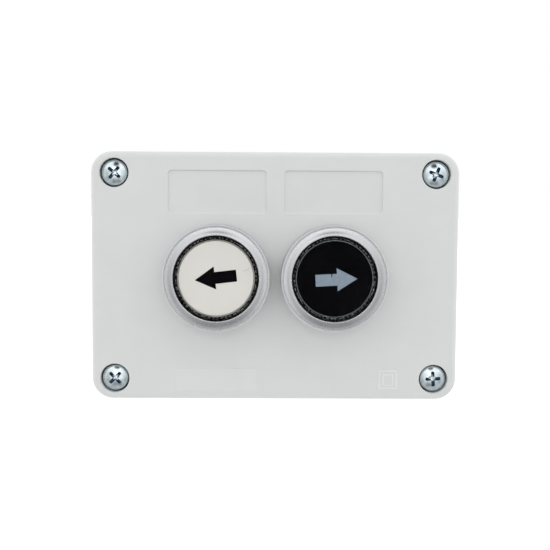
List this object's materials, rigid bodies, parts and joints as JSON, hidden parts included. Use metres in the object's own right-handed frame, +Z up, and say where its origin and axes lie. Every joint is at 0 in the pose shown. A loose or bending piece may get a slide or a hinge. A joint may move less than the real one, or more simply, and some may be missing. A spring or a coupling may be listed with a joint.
{
  "type": "pushbutton control station",
  "caption": "Surface-mounted control station with momentary pushbuttons side by side, sprung actuators and normally open contact blocks in a sealed moulded box.",
  "frame": {"origin": "centre of the flat wall face at the back of the base", "axes": "+X to the right as seen from the front, +Y into the wall, +Z up; the buttons face -Y"},
  "size_m": [0.104, 0.0625, 0.0704],
  "materials": {
    "cover_grey": "fine moulded, silk matt",
    "base_grey": "fine moulded, silk matt",
    "plug_grey": "moulded",
    "seal_rubber": "soft, matt",
    "screw_zinc": "bright zinc plated",
    "bezel_satin": "satin",
    "lens_clear": "clear polished",
    "insert_white": "smooth white",
    "insert_black": "smooth black",
    "operator_black": "moulded",
    "nut_black": "moulded",
    "adapter_grey": "moulded",
    "block_black": "moulded",
    "plunger_green": "moulded",
    "contact_brass": "stamped",
    "spring_steel": "drawn wire",
    "clamp_steel": "zinc plated"
  },
  "bodies": {
    "housing": {"base_box": "base_grey", "front_cover": "cover_grey", "cover_gasket": "seal_rubber", "cover_screws": "screw_zinc", "blanking_plug": "plug_grey", "plug_seal": "seal_rubber", "left_bezel_ring": "bezel_satin", "left_return_spring": "spring_steel", "left_stem_seal": "seal_rubber", "left_operator_body": "operator_black", "left_panel_seal": "seal_rubber", "left_ring_nut": "nut_black", "left_contact_adapter": "adapter_grey", "left_contact_housing": "block_black", "left_plunger_spring": "spring_steel", "left_fixed_contacts": "contact_brass", "left_wire_clamps": "clamp_steel", "left_terminal_screws": "clamp_steel", "right_bezel_ring": "bezel_satin", "right_return_spring": "spring_steel", "right_stem_seal": "seal_rubber", "right_operator_body": "operator_black", "right_panel_seal": "seal_rubber", "right_ring_nut": "nut_black", "right_contact_adapter": "adapter_grey", "right_contact_housing": "block_black", "right_plunger_spring": "spring_steel", "right_fixed_contacts": "contact_brass", "right_wire_clamps": "clamp_steel", "right_terminal_screws": "clamp_steel"},
    "left_button": {"left_lens_cap": "lens_clear", "left_insert_disc": "insert_white", "left_button_carrier": "operator_black"},
    "left_plunger": {"left_contact_plunger": "plunger_green", "left_contact_spring": "spring_steel"},
    "left_bridge": {"left_contact_bridge": "contact_brass"},
    "right_button": {"right_lens_cap": "lens_clear", "right_insert_disc": "insert_black", "right_button_carrier": "operator_black"},
    "right_plunger": {"right_contact_plunger": "plunger_green", "right_contact_spring": "spring_steel"},
    "right_bridge": {"right_contact_bridge": "contact_brass"}
  },
  "joints": [
    {"name": "left_press", "type": "slide", "parent": "housing", "child": "left_button", "axis": [0, 1, 0], "range_m": [0, 0.0043], "stiffness_N_per_m": 500, "springref_m": -0.006, "deforming": ["left_return_spring"]},
    {"name": "left_plunger_slide", "type": "slide", "parent": "housing", "child": "left_plunger", "axis": [0, 1, 0], "range_m": [0, 0.0043], "deforming": ["left_plunger_spring"]},
    {"name": "left_bridge_slide", "type": "slide", "parent": "housing", "child": "left_bridge", "axis": [0, 1, 0], "range_m": [0, 0.0026], "deforming": ["left_contact_spring"]},
    {"name": "right_press", "type": "slide", "parent": "housing", "child": "right_button", "axis": [0, 1, 0], "range_m": [0, 0.0043], "stiffness_N_per_m": 500, "springref_m": -0.006, "deforming": ["right_return_spring"]},
    {"name": "right_plunger_slide", "type": "slide", "parent": "housing", "child": "right_plunger", "axis": [0, 1, 0], "range_m": [0, 0.0043], "deforming": ["right_plunger_spring"]},
    {"name": "right_bridge_slide", "type": "slide", "parent": "housing", "child": "right_bridge", "axis": [0, 1, 0], "range_m": [0, 0.0026], "deforming": ["right_contact_spring"]}
  ],
  "couplings": [
    {"joint": "left_plunger_slide", "follows": "left_press", "ratio": 1},
    {"joint": "left_bridge_slide", "follows": "left_press", "ratio": 0.6046},
    {"joint": "right_plunger_slide", "follows": "right_press", "ratio": 1},
    {"joint": "right_bridge_slide", "follows": "right_press", "ratio": 0.6046}
  ]
}
